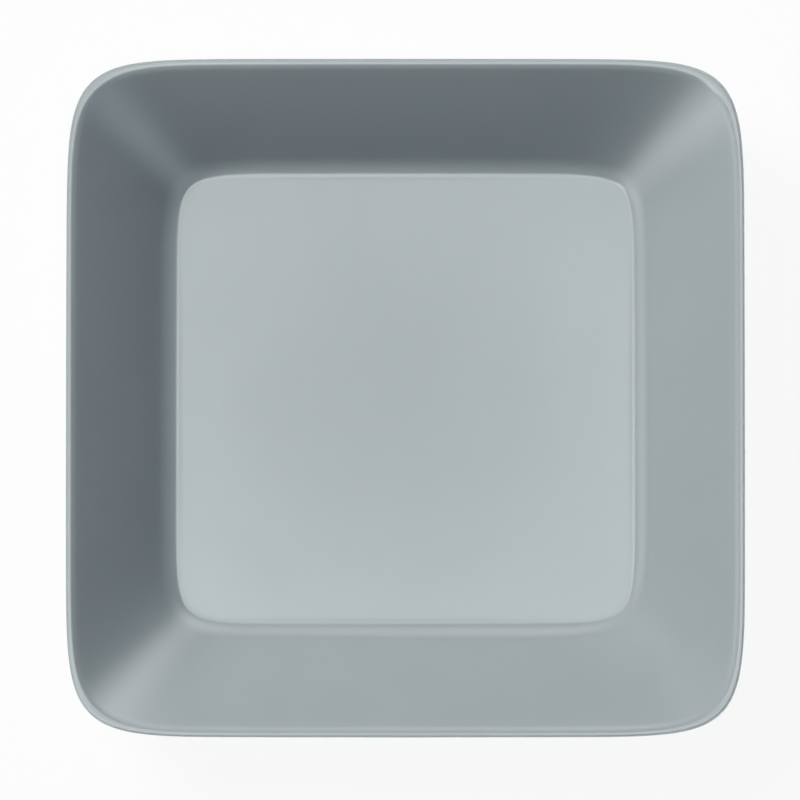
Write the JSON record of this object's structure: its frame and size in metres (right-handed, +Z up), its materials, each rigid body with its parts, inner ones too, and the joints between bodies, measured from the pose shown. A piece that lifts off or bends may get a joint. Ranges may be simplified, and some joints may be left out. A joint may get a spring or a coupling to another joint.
{
  "type": "side plate",
  "caption": "Square glazed ceramic side plate with a flat well, flared walls, a rounded lip and a bare foot ring, for serving food.",
  "frame": {"origin": "centre of the plate's footprint, on the table that its foot ring stands on", "axes": "+Z up through the well; +X to the right and +Y to the top of the picture, square to the plate's sides"},
  "size_m": [0.16, 0.16, 0.0232],
  "materials": {
    "glaze": "gloss pearl-grey glaze, faintly uneven",
    "bare_body": "matt off-white fired clay, wiped of glaze"
  },
  "bodies": {
    "root": {"ceramic_body": "bare_body", "main_glaze": "glaze", "base_glaze": "glaze"}
  },
  "joints": []
}
